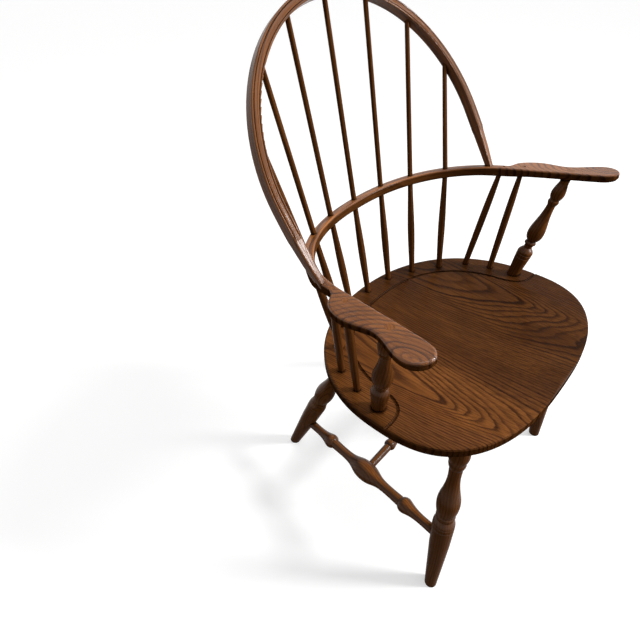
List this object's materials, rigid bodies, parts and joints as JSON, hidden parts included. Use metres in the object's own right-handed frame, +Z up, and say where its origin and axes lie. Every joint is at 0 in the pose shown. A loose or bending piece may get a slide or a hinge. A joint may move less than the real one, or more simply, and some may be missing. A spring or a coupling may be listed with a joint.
{
  "type": "windsor chair",
  "caption": "Bow-back armchair with a saddled plank seat, a bent arm rail, turned legs and arm posts, and an H of turned stretchers, in dark oak.",
  "frame": {"origin": "on the floor, under the middle of the chair's bounding box", "axes": "+Z up, front of the seat towards -Y, the sitter's left towards +X"},
  "size_m": [0.6721, 0.5556, 1.0023],
  "materials": {
    "dark_oak": "dark brown stain under a satin wax, with open grain"
  },
  "bodies": {
    "root": {"seat": "dark_oak", "arm_rail": "dark_oak", "bow": "dark_oak", "medial_stretcher": "dark_oak", "middle_spindle": "dark_oak", "front_right_leg": "dark_oak", "rear_right_leg": "dark_oak", "right_side_stretcher": "dark_oak", "right_arm_post": "dark_oak", "right_inner_spindle": "dark_oak", "right_outer_spindle": "dark_oak", "right_end_spindle": "dark_oak", "right_rear_short_spindle": "dark_oak", "right_front_short_spindle": "dark_oak", "front_left_leg": "dark_oak", "rear_left_leg": "dark_oak", "left_side_stretcher": "dark_oak", "left_arm_post": "dark_oak", "left_inner_spindle": "dark_oak", "left_outer_spindle": "dark_oak", "left_end_spindle": "dark_oak", "left_rear_short_spindle": "dark_oak", "left_front_short_spindle": "dark_oak"}
  },
  "joints": []
}
